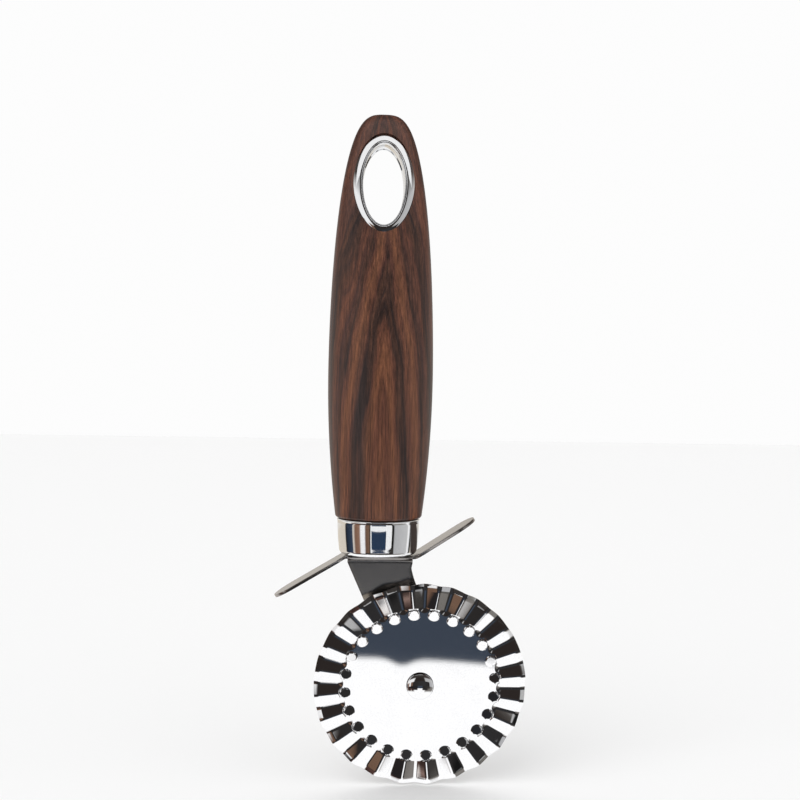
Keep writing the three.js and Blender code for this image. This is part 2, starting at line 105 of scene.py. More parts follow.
def placeCamera(setup):
    azimuth, roll = math.radians(setup["azimuth"]), math.radians(setup["roll"])
    back = Vector((math.sin(azimuth), -math.cos(azimuth), 0))
    level = Vector((math.cos(azimuth), math.sin(azimuth), 0))
    upright = Vector((0, 0, 1))
    right = level * math.cos(roll) + upright * math.sin(roll)
    up = upright * math.cos(roll) - level * math.sin(roll)
    aim = Vector((0, 0, rimHeight + setup["aimHeight"])) + right * setup["aimSide"]
    bpy.ops.object.camera_add()
    camera = bpy.context.object
    camera.name = "studioCamera"
    camera.data.sensor_width = 36
    camera.data.lens = setup["lens"]
    camera.data.clip_start = 0.01
    turned = Matrix((right, up, back)).transposed().to_4x4()
    turned.translation = aim + back * setup["distance"]
    camera.matrix_world = turned
    bpy.context.scene.camera = camera


placeCamera(cameraSetup)
print("camera placed")


def deselectAll():
    if bpy.context.mode != "OBJECT":
        bpy.ops.object.mode_set(mode="OBJECT")
    bpy.ops.object.select_all(action="DESELECT")


def pickOnly(piece):
    deselectAll()
    piece.select_set(True)
    bpy.context.view_layer.objects.active = piece


# Selects the vertices of the active mesh that pass a test, leaving edit mode on
def selectWhere(piece, test):
    bpy.ops.mesh.select_all(action="DESELECT")
    bpy.ops.object.mode_set(mode="OBJECT")
    for vertex in piece.data.vertices:
        vertex.select = test(vertex.co)
    for edge in piece.data.edges:
        edge.select = all(piece.data.vertices[v].select for v in edge.vertices)
    bpy.ops.object.mode_set(mode="EDIT")


# A ring of edges, extruded and scaled from station to station: (halfWidth, halfDepth, height).
# A station of no width closes to a pole; a last station like the first closes the loop.
def extrudeRings(name, stations, sides):
    pole = mm(0.1)
    ends = [h for w, d, h in (stations[0], stations[-1]) if w < pole]
    stations = [(max(w, pole), max(d, pole), h) for w, d, h in stations]
    deselectAll()
    bpy.ops.mesh.primitive_circle_add(vertices=sides, radius=1, fill_type="NOTHING", location=(0, 0, 0))
    piece = bpy.context.object
    piece.name = name
    bpy.ops.object.mode_set(mode="EDIT")
    bpy.ops.mesh.select_all(action="SELECT")
    width, depth, height = stations[0]
    bpy.ops.transform.resize(value=(width, depth, 1), center_override=(0, 0, 0))
    bpy.ops.transform.translate(value=(0, 0, height))
    for nextWidth, nextDepth, nextHeight in stations[1:]:
        bpy.ops.mesh.extrude_region_move(
            TRANSFORM_OT_translate={"value": (0, 0, nextHeight - height)})
        bpy.ops.transform.resize(value=(nextWidth / width, nextDepth / depth, 1),
                                 center_override=(0, 0, nextHeight))
        width, depth, height = nextWidth, nextDepth, nextHeight
    for end in ends:
        selectWhere(piece, lambda co: math.hypot(co.x, co.y) < pole * 2 and abs(co.z - end) < pole / 10)
        bpy.ops.mesh.merge(type="CENTER")
    bpy.ops.mesh.select_all(action="SELECT")
    bpy.ops.mesh.remove_doubles(threshold=mm(0.003))
    bpy.ops.mesh.normals_make_consistent(inside=False)
    bpy.ops.object.mode_set(mode="OBJECT")
    return piece


# A round piece from (radius, height) pairs
def turnPiece(name, profile, sides=96):
    return extrudeRings(name, [(radius, radius, height) for radius, height in profile], sides)


# Points along a rounded corner in (radius, height), from one angle to another in degrees
def cornerArc(radius, height, size, fromAngle, toAngle, steps=5):
    points = []
    for i in range(steps + 1):
        angle = math.radians(lerp(fromAngle, toAngle, i / steps))
        points.append((radius + size * math.cos(angle), height + size * math.sin(angle)))
    return points


def placeOn(piece, matrix):
    pickOnly(piece)
    piece.matrix_world = matrix
    bpy.ops.object.transform_apply(location=True, rotation=True, scale=True)


def applyModifier(piece, kind, **settings):
    pickOnly(piece)
    modifier = piece.modifiers.new(kind.title(), kind)
    for key, value in settings.items():
        setattr(modifier, key, value)
    bpy.ops.object.modifier_apply(modifier=modifier.name)


def cutAway(piece, cutter):
    applyModifier(piece, "BOOLEAN", operation="DIFFERENCE", solver="EXACT", object=cutter)
    bpy.data.objects.remove(cutter)


def smooth(piece, angle=40):
    pickOnly(piece)
    bpy.ops.object.shade_smooth_by_angle(angle=math.radians(angle))


# Moves every vertex of a piece by a function of its place
def reshape(piece, move):
    for vertex in piece.data.vertices:
        vertex.co = move(vertex.co)
    piece.data.update()


def finishPiece(piece, body, slot, material, *nodes):
    piece.data.materials.clear()
    piece.data.materials.append(material)
    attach(piece, body)
    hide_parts(*nodes)


def newMaterial(name):
    material = bpy.data.materials.new(name)
    material.use_nodes = True
    tree = material.node_tree
    shader = tree.nodes["Principled BSDF"]
    return material, tree, shader


def addNode(tree, kind, inputs=None, **settings):
    node = tree.nodes.new(kind)
    for key, value in settings.items():
        setattr(node, key, value)
    for key, value in (inputs or {}).items():
        if isinstance(value, bpy.types.NodeSocket):
            tree.links.new(value, node.inputs[key])
        else:
            node.inputs[key].default_value = value
    return node


def maths(tree, operation, first, second=0.0, third=0.0):
    return addNode(tree, "ShaderNodeMath", {0: first, 1: second, 2: third}, operation=operation).outputs[0]


# The piece's own coordinates in millimetres, measured from the handle's rim
def millimetres(tree, stretch=(1, 1, 1), turn=(0, 0, 0)):
    place = addNode(tree, "ShaderNodeTexCoord").outputs["Object"]
    raised = addNode(tree, "ShaderNodeMapping", {"Vector": place, "Location": (0, 0, -rimHeight * 1000),
                                                 "Scale": (1000, 1000, 1000)}).outputs[0]
    turned = addNode(tree, "ShaderNodeMapping", {"Vector": raised, "Scale": stretch, "Rotation": turn})
    return turned.outputs[0]


def noise(tree, vector, detail=2, roughness=0.5):
    return addNode(tree, "ShaderNodeTexNoise", {"Vector": vector, "Scale": 1, "Detail": detail,
                                                "Roughness": roughness}).outputs[0]


def colourRamp(tree, factor, stops):
    node = addNode(tree, "ShaderNodeValToRGB", {"Fac": factor})
    ramp = node.color_ramp
    while len(ramp.elements) > 1:
        ramp.elements.remove(ramp.elements[-1])
    ramp.elements[0].position, ramp.elements[0].color = stops[0][0], (*stops[0][1], 1)
    for place, colour in stops[1:]:
        ramp.elements.new(place).color = (*colour, 1)
    return node.outputs[0]


def mixColours(tree, share, first, second, blend="MIX"):
    node = addNode(tree, "ShaderNodeMix", data_type="RGBA", blend_type=blend)
    for index, value in ((0, share), (6, first), (7, second)):
        if isinstance(value, bpy.types.NodeSocket):
            tree.links.new(value, node.inputs[index])
        else:
            node.inputs[index].default_value = value if index == 0 else (*value, 1)
    return node.outputs[2]


# Takes a value from 0...1 to low...high
def spread(tree, value, low, high):
    return addNode(tree, "ShaderNodeMapRange", {"Value": value, "To Min": low, "To Max": high}).outputs[0]


def square(tree, value):
    return maths(tree, "MULTIPLY", value, value)


# The colour made darker or lighter by a grey value
def shaded(tree, colour, grey):
    greyColour = addNode(tree, "ShaderNodeCombineColor", {0: grey, 1: grey, 2: grey}).outputs[0]
    return mixColours(tree, 1.0, colour, greyColour, "MULTIPLY")


def addBump(tree, shader, height, strength, distance):
    bump = addNode(tree, "ShaderNodeBump", {"Strength": strength, "Distance": distance, "Height": height})
    tree.links.new(bump.outputs[0], shader.inputs["Normal"])


woodPrint = {
    "dark": (0.018, 0.011, 0.011),
    "plum": (0.052, 0.021, 0.018),
    "red": (0.100, 0.033, 0.020),
    "orange": (0.185, 0.066, 0.028),
    "veins": [               # from the flame's heart outwards, in shares of veinReach
        (0.0, "orange"), (0.13, "red"), (0.2, "orange"), (0.25, "red"), (0.262, "dark"), (0.325, "dark"),
        (0.355, "red"), (0.43, "orange"), (0.475, "red"), (0.5, "dark"), (0.53, "plum"), (0.585, "red"),
        (0.615, "dark"), (0.66, "dark"), (0.69, "plum"), (0.76, "red"), (0.82, "plum"), (0.86, "dark"),
        (0.9, "plum"), (1.0, "red")],
    "veinReach": 30,         # millimetres round the handle
    "roundRadius": 12.5,     # turns an angle round the handle into millimetres
    "wander": 5,             # how far the veins stray to the sides
    "ragged": 1.6,           # how uneven their edges are
    "flameRise": 0.135,      # how fast the flame narrows with height
    "flameFoot": 5.0,        # height above the rim where its sides run straight
    "flamePower": 1.35,      # between a pointed and a round flame
    "leg": {"aside": -6.2, "width": 1.9, "ragged": 2, "top": (60, 44), "depth": 0.8},     # broad dark stroke
    "streakShare": 0.4,
    "streaks": (-0.9, 1.8),  # contrast of the long streaks, then of the pores and the fibres
    "pores": (-0.1, 2.05),
    "fibres": (-0.1, 2.1),
    "roughness": (0.34, 0.5), "sheen": 0.4, "bump": 0.06, "poreDepth": 0.0002,
}


# Dark rosewood-look film: nested flames up the front, straight veins at the sides
def makeWoodPrint(look):
    material, tree, shader = newMaterial("woodPrint")
    parts = addNode(tree, "ShaderNodeSeparateXYZ", {0: millimetres(tree)})
    x, y, height = parts.outputs[0], parts.outputs[1], parts.outputs[2]
    wander = noise(tree, millimetres(tree, (0.06, 0.06, 0.016)))
    angle = maths(tree, "ARCTAN2", x, maths(tree, "MULTIPLY", y, -1))
    aside = maths(tree, "MULTIPLY_ADD", angle, look["roundRadius"],
                  spread(tree, wander, -look["wander"], look["wander"]))
    rise = maths(tree, "MULTIPLY", maths(tree, "SUBTRACT", height, look["flameFoot"]), look["flameRise"])
    rise = maths(tree, "MAXIMUM", rise, 0.02)
    power = look["flamePower"]
    asidePart = maths(tree, "POWER", maths(tree, "ABSOLUTE", aside), power)
    flame = maths(tree, "POWER", maths(tree, "ADD", asidePart, maths(tree, "POWER", rise, power)), 1 / power)
    ragged = noise(tree, millimetres(tree, (0.55, 0.55, 0.045)), 3, 0.6)
    uneven = maths(tree, "ADD", flame, spread(tree, ragged, -look["ragged"], look["ragged"]))
    bands = colourRamp(tree, maths(tree, "DIVIDE", uneven, look["veinReach"]),
                       [(place, look[tone]) for place, tone in look["veins"]])
    grainPlace = addNode(tree, "ShaderNodeCombineXYZ", {
        0: maths(tree, "MULTIPLY", flame, 1.5), 1: maths(tree, "MULTIPLY", height, 0.035),
        2: maths(tree, "MULTIPLY", angle, 1.2)}).outputs[0]
    streaks = noise(tree, grainPlace, 4, 0.62)
    warm = mixColours(tree, spread(tree, streaks, *look["streaks"]), look["dark"], look["orange"])
    colour = mixColours(tree, look["streakShare"], bands, warm)
    leg = look["leg"]
    offLeg = maths(tree, "ADD", aside, spread(tree, ragged, -leg["ragged"], leg["ragged"]))
    offLeg = maths(tree, "DIVIDE", maths(tree, "SUBTRACT", offLeg, leg["aside"]), leg["width"])
    stroke = maths(tree, "EXPONENT", maths(tree, "MULTIPLY", square(tree, offLeg), -1))
    below = addNode(tree, "ShaderNodeMapRange", {"Value": height, "From Min": leg["top"][0],
                                                 "From Max": leg["top"][1], "To Max": leg["depth"]})
    colour = mixColours(tree, maths(tree, "MULTIPLY", stroke, below.outputs[0]), colour, look["dark"])
    pores = noise(tree, millimetres(tree, (3.4, 3.4, 0.16)), 4, 0.75)
    fibres = noise(tree, millimetres(tree, (1.7, 1.7, 0.035)), 4, 0.7)
    shade = maths(tree, "MULTIPLY", spread(tree, pores, *look["pores"]),
                  spread(tree, fibres, *look["fibres"]))
    tree.links.new(shaded(tree, colour, shade), shader.inputs["Base Color"])
    tree.links.new(spread(tree, streaks, *look["roughness"]), shader.inputs["Roughness"])
    shader.inputs["Specular IOR Level"].default_value = look["sheen"]
    addBump(tree, shader, pores, look["bump"], look["poreDepth"])
    return material


metals = {
    "chrome": {"colour": (0.86, 0.865, 0.875), "roughness": (0.03, 0.07),
               "grain": (0.8, 0.8, 0.8), "bump": 0.01},
    "polishedSteel": {"colour": (0.86, 0.86, 0.87), "roughness": (0.012, 0.035),
                      "grain": (0.25, 4.0, 4.0), "bump": 0.006},
    "satinSteel": {"colour": (0.37, 0.35, 0.335), "roughness": (0.17, 0.27),
                   "grain": (0.3, 3.5, 3.5), "bump": 0.05},
}
metalGrain = {"heading": 28, "dim": 0.93, "speckleSize": 5, "speckle": (0.55, 1.45), "speckleShare": 0.6}


# Metal with a fine grain in its polish, stretched along one direction
def makeMetal(name, look):
    material, tree, shader = newMaterial(name)
    turn = (0, math.radians(metalGrain["heading"]), 0)
    grain = noise(tree, millimetres(tree, look["grain"], turn), 5, 0.7)
    cloud = noise(tree, millimetres(tree, (0.15, 0.15, 0.15)))
    dim = tuple(metalGrain["dim"] * part for part in look["colour"])
    size = metalGrain["speckleSize"]
    speckle = noise(tree, millimetres(tree, (size, size, size)), 2, 0.8)
    speckle = spread(tree, speckle, *metalGrain["speckle"])
    colour = mixColours(tree, cloud, dim, look["colour"])
    colour = mixColours(tree, metalGrain["speckleShare"], colour, shaded(tree, colour, speckle))
    tree.links.new(colour, shader.inputs["Base Color"])
    tree.links.new(spread(tree, grain, *look["roughness"]), shader.inputs["Roughness"])
    shader.inputs["Metallic"].default_value = 1
    addBump(tree, shader, grain, look["bump"], 0.00005)
    return material


plastics = {
    "corePlastic": {"colour": (0.012, 0.011, 0.011), "roughness": (0.45, 0.65)},
    "nylon": {"colour": (0.72, 0.69, 0.62), "roughness": (0.35, 0.5)},
}


def makePlastic(name, look):
    material, tree, shader = newMaterial(name)
    speckle = noise(tree, millimetres(tree, (2.5, 2.5, 2.5)), 4)
    dim = tuple(0.85 * part for part in look["colour"])
    tree.links.new(mixColours(tree, speckle, dim, look["colour"]), shader.inputs["Base Color"])
    tree.links.new(spread(tree, speckle, *look["roughness"]), shader.inputs["Roughness"])
    addBump(tree, shader, speckle, 0.1, 0.0001)
    return material


woodFinish = makeWoodPrint(woodPrint)
chrome, polishedSteel, satinSteel = [makeMetal(name, look) for name, look in metals.items()]
corePlastic, nylonFinish = [makePlastic(name, look) for name, look in plastics.items()]
print("materials made")


handleShape = {
    "bellyHeight": 44, "bellyHalfWidth": 16.15, "bellyHalfDepth": 12.86, "rimCurve": 0.0015,
    "topHalfDepth": 5, "fallStart": 30, "fallEnd": 114, "rimShare": 0.95, "rimRound": 1.0,
    "tipRound": 8, "tipRoot": 0.45, "nosePower": 1.9, "noseRoot": 0.32,
    "facePower": 2.8, "faceStart": 55, "faceFull": 100,
    "hole": (8.0, 14.1), "seat": (9.3, 15.2), "seatFloor": 4.0, "cutReach": (14, 20),
    "spigotRadius": 11, "spigotLength": 9,
    "socketMouth": 9, "socketEnd": 7.5, "socketTop": 70, "socketEndShare": 0.8,
    "socketSteps": 8, "rings": 74, "ringCrowding": 1.6, "sides": 144,
}
handleLength = (tipHeight - rimHeight) * 1000
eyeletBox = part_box("eyelet_front")
eyeletHeight = ((eyeletBox[0].z + eyeletBox[1].z) / 2 - rimHeight) * 1000


# Half width and half depth at a height above the rim, all in millimetres
def handleHalfWidth(height):
    shape = handleShape
    if height < shape["bellyHeight"]:
        return shape["bellyHalfWidth"] - shape["rimCurve"] * (shape["bellyHeight"] - height) ** 2
    along = (height - shape["bellyHeight"]) / (handleLength - shape["bellyHeight"])
    return shape["bellyHalfWidth"] * max(0, 1 - along ** shape["nosePower"]) ** shape["noseRoot"]


def handleHalfDepth(height):
    shape = handleShape
    lower = lerp(shape["rimShare"] * handleHalfWidth(0), shape["bellyHalfDepth"],
                 smoothstep(height, 0, shape["fallStart"]))
    past = max(0, height - (handleLength - shape["tipRound"])) / shape["tipRound"]
    fallen = lerp(lower, shape["topHalfDepth"], smoothstep(height, shape["fallStart"], shape["fallEnd"]))
    return fallen * max(0, 1 - past ** 2) ** shape["tipRoot"]


def facePower(height):
    shape = handleShape
    return lerp(2, shape["facePower"], smoothstep(height, shape["faceStart"], shape["faceFull"]))


# How far in front of the middle plane the handle's face lies
def handleFace(x, height):
    width, power = handleHalfWidth(height), facePower(height)
    inside = max(0, 1 - min(1, abs(x) / max(width, 0.01)) ** power)
    return handleHalfDepth(height) * inside ** (1 / power)


# Turns the loft's ellipses into rounder-cornered oblongs around the eyelet
def squareUp(co):
    height = (co.z - rimHeight) * 1000
    if height < handleShape["faceStart"] or height > handleLength - 0.05:
        return co
    width, depth = mm(handleHalfWidth(height)), mm(handleHalfDepth(height))
    reach = math.hypot(co.x / width, co.y / depth)
    if reach < 0.9:
        return co
    power = 2 / facePower(height)
    c, s = co.x / width / reach, co.y / depth / reach
    x, y = math.copysign(abs(c) ** power, c), math.copysign(abs(s) ** power, s)
    return Vector((x * width, y * depth, co.z))


# An upright oval post, lying along the depth
def ovalCutter(halfWidth, halfHeight, fromDepth, toDepth):
    deselectAll()
    bpy.ops.mesh.primitive_cylinder_add(vertices=160, radius=1, depth=1)
    cutter = bpy.context.object
    middle = (fromDepth + toDepth) / 2
    size = Matrix.Diagonal((mm(halfWidth), mm(halfHeight), mm(toDepth - fromDepth), 1))
    placeOn(cutter, Matrix.Translation((0, mm(middle), 0)) @ Matrix.Rotation(math.pi / 2, 4, "X") @ size)
    return cutter


def makeHandle():
    shape = handleShape
    stations = []
    for i in range(shape["socketSteps"] + 1):
        height = lerp(shape["socketTop"], -shape["spigotLength"], i / shape["socketSteps"])
        share = (height + shape["spigotLength"]) / (shape["socketTop"] + shape["spigotLength"])
        radius = lerp(shape["socketMouth"], shape["socketEnd"], share)
        if i == 0:
            stations.append((0, 0, height))
        flatter = lerp(1, shape["socketEndShare"], smoothstep(share, 0, 1))
        stations.append((radius, radius * flatter, height))
    for radius, height in ((shape["spigotRadius"], -shape["spigotLength"]), (shape["spigotRadius"], 0)):
        stations.append((radius, radius * shape["rimShare"], height))
    rimRound = shape["rimRound"]
    for radius, height in cornerArc(handleHalfWidth(rimRound) - rimRound, rimRound, rimRound, -90, 0, 6):
        stations.append((radius, radius * shape["rimShare"], height))
    for i in range(1, shape["rings"] + 1):
        share = i / shape["rings"]
        height = rimRound + (handleLength - rimRound) * (1 - (1 - share) ** shape["ringCrowding"])
        stations.append((handleHalfWidth(height), handleHalfDepth(height), height))
    stations[-1] = (0, 0, handleLength)
    stations = [(mm(w), mm(d), rimHeight + mm(h)) for w, d, h in stations]
    handle = extrudeRings("handleShell", stations, shape["sides"])
    reshape(handle, squareUp)
    seatReach, holeReach = shape["cutReach"]
    eyeletPlace = Matrix.Translation((0, 0, rimHeight + mm(eyeletHeight)))
    hole = ovalCutter(*shape["hole"], -holeReach, holeReach)
    placeOn(hole, eyeletPlace)
    cutAway(handle, hole)
    for side in (1, -1):
        seat = ovalCutter(*shape["seat"], shape["seatFloor"], seatReach)
        lean = Matrix.Rotation(math.radians(eyeletShape["tilt"]), 4, "X")
        flip = Matrix.Rotation(0 if side < 0 else math.pi, 4, "Z")
        placeOn(seat, eyeletPlace @ flip @ lean)
        cutAway(handle, seat)
    smooth(handle)
    return handle


# Section of the ring: (distance outside the opening's edge, distance from the middle plane)
eyeletShape = {
    "openingHalfWidth": 6.4, "openingHalfHeight": 12.5, "tilt": 3.8, "faceFall": 0.0085,
    "bendStart": 0.15, "bendFull": 4.5, "sides": 160,
    "section": [
        (0.5, 0.15), (0.5, 4.9), (0.4, 5.12), (0.08, 5.32), (0.0, 5.48), (0.04, 5.66), (0.14, 5.74),
        (0.24, 5.68), (0.3, 5.54), (0.33, 5.42), (0.38, 5.4), (0.43, 5.46), (0.48, 5.8), (0.55, 5.96),
        (0.7, 6.04), (1.2, 5.98), (1.8, 5.83), (2.4, 5.58), (2.8, 5.33), (3.0, 5.08), (3.08, 4.85),
        (3.1, 4.3), (1.6, 4.1), (1.4, 3.9), (1.3, 3.6), (1.3, 0.15), (0.5, 0.15)],
}


def makeBezel(name, side):
    shape = eyeletShape
    stations = [(mm(shape["openingHalfWidth"] + out), mm(shape["openingHalfHeight"] + out), mm(depth))
                for out, depth in shape["section"]]
    bezel = extrudeRings(name, stations, shape["sides"])
    slope = math.tan(math.radians(shape["tilt"]))

    # Bends the ring to the handle's face; the inner end of the sleeve stays on the middle plane
    def followFace(co):
        share = smoothstep(co.z * 1000, shape["bendStart"], shape["bendFull"])
        fall = -co.y * slope - mm(shape["faceFall"] * (co.x * 1000) ** 2)
        return Vector((co.x, co.y, co.z + fall * share))

    reshape(bezel, followFace)
    standing = Matrix.Rotation(math.pi / 2, 4, "X")
    facing = Matrix.Rotation(0 if side < 0 else math.pi, 4, "Z")
    placeOn(bezel, Matrix.Translation((0, 0, rimHeight + mm(eyeletHeight))) @ facing @ standing)
    smooth(bezel, 50)
    return bezel


finishPiece(makeHandle(), "handle", "wood_film", woodFinish, "handle_body")
print("handle made")
finishPiece(makeBezel("eyeletBezelFront", -1), "handle", "chrome_trim", chrome, "eyelet_front")
finishPiece(makeBezel("eyeletBezelRear", 1), "handle", "chrome_trim", chrome, "eyelet_rear")
print("eyelet bezels made")


ferruleShape = {"topRadius": 12.6, "bottomRadius": 12.0, "innerRadius": 11.35, "floor": 1.6,
                "fillet": 1.6, "crown": 0.12, "lipOut": 0.16, "lipHigh": 0.45, "bore": 3.4}


def makeFerrule():
    shape = ferruleShape
    top = -touchGap * 1000
    bottom = (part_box("ferrule")[0].z - rimHeight) * 1000
    profile = [(shape["bore"], bottom)]
    fillet, wallSteps = shape["fillet"], 12
    profile += cornerArc(shape["bottomRadius"] - fillet, bottom + fillet, fillet, -90, 0, 10)
    wallFoot, wallHead = bottom + fillet, top - shape["lipHigh"] - 0.15
    for i in range(1, wallSteps + 1):
        share = i / wallSteps
        swell = shape["crown"] * math.sin(math.pi * share)
        radius = lerp(shape["bottomRadius"], shape["topRadius"], share) + swell
        profile.append((radius, lerp(wallFoot, wallHead, share)))
    lip = shape["topRadius"] + shape["lipOut"]
    profile += [(lip - 0.04, top - shape["lipHigh"]), (lip, top - shape["lipHigh"] + 0.1), (lip, top - 0.1),
                (lip - 0.08, top), (shape["innerRadius"], top)]
    profile += [(shape["innerRadius"], bottom + shape["floor"]), (shape["bore"], bottom + shape["floor"]),
                (shape["bore"], bottom)]
    share = handleShape["rimShare"]
    stations = [(mm(r), mm(r * share), rimHeight + mm(h)) for r, h in profile]
    ferrule = extrudeRings("ferruleCup", stations, handleShape["sides"])
    smooth(ferrule)
    return ferrule


finishPiece(makeFerrule(), "handle", "chrome_trim", chrome, "ferrule")
print("ferrule made")


bracketShape = {
    "sheet": 0.9, "left": -10.0, "right": 11.0, "halfDepth": 5.5, "bendInner": 0.6, "wingBend": 1.3,
    "leftWing": {"length": 24.72, "slope": 30.6}, "rightWing": {"length": 22.1, "slope": -32.6},
    "neckLeft": -9.35, "neckRight": 10.45, "waist": (10.15, 1.6), "shoulder": (11.75, 7.1),
    "endRadius": 5.8, "edgeRound": 0.16, "standoff": 2.8, "rodHole": 2.8, "axleHole": 2.4,
    "leafTaper": 7.0, "leafPower": 2.6, "leafTip": 0.25, "columns": 16, "rows": 8, "foldSteps": 10,
    "neckRows": [0.4, 1.0, 1.6, 2.6, 3.6, 4.8, 6.0, 7.1, 9, 12, 16, 20, 24, 28, 31, 33], "endRows": 14,
    "wingRows": [3, 6, 10, 14],
    "tipRows": [7, 5.5, 4.2, 3.1, 2.2, 1.5, 0.95, 0.55, 0.28, 0.1, 0.015],      # counted from the wing's tip
}


# Extrudes the selected edge row by a step, then scales it along one axis about the row's own middle
def extrudeRow(step, stretch, stretchAxis, about):
    bpy.ops.mesh.extrude_region_move(TRANSFORM_OT_translate={"value": tuple(step)})
    scale = [1, 1, 1]
    scale[stretchAxis] = stretch
    bpy.ops.transform.resize(value=tuple(scale), center_override=tuple(about))


def leafHalfDepth(along, length):
    shape = bracketShape
    past = max(0, along - (length - shape["leafTaper"])) / shape["leafTaper"]
    return shape["halfDepth"] * math.sqrt(max(0, 1 - past ** shape["leafPower"]))


# The neck's left and right edge at a distance below the fold, in millimetres
def neckEdges(drop, axleX, axleDrop):
    shape = bracketShape
    radius = shape["endRadius"]

    def tangent(x, down, side):
        dx, dy = axleX - x, axleDrop - down
        far = math.hypot(dx, dy)
        heading = math.atan2(dx, dy) - side * math.asin(radius / far)
        along = math.sqrt(far * far - radius * radius)
        return x + along * math.sin(heading), down + along * math.cos(heading)

    leftFoot = tangent(shape["neckLeft"], 0, 1)
    rightFoot = tangent(*shape["shoulder"], -1)
    roundPart = math.sqrt(max(0, radius ** 2 - (drop - axleDrop) ** 2))
    if drop < leftFoot[1]:
        left = lerp(shape["neckLeft"], leftFoot[0], drop / leftFoot[1])
    else:
        left = axleX - roundPart
    if drop < shape["waist"][1]:
        right = lerp(shape["neckRight"], shape["waist"][0], drop / shape["waist"][1])
    elif drop < shape["shoulder"][1]:
        share = (drop - shape["waist"][1]) / (shape["shoulder"][1] - shape["waist"][1])
        right = lerp(shape["waist"][0], shape["shoulder"][0], share ** 1.35)
    elif drop < rightFoot[1]:
        share = (drop - shape["shoulder"][1]) / (rightFoot[1] - shape["shoulder"][1])
        right = lerp(shape["shoulder"][0], rightFoot[0], share)
    else:
        right = axleX + roundPart
    return left, right


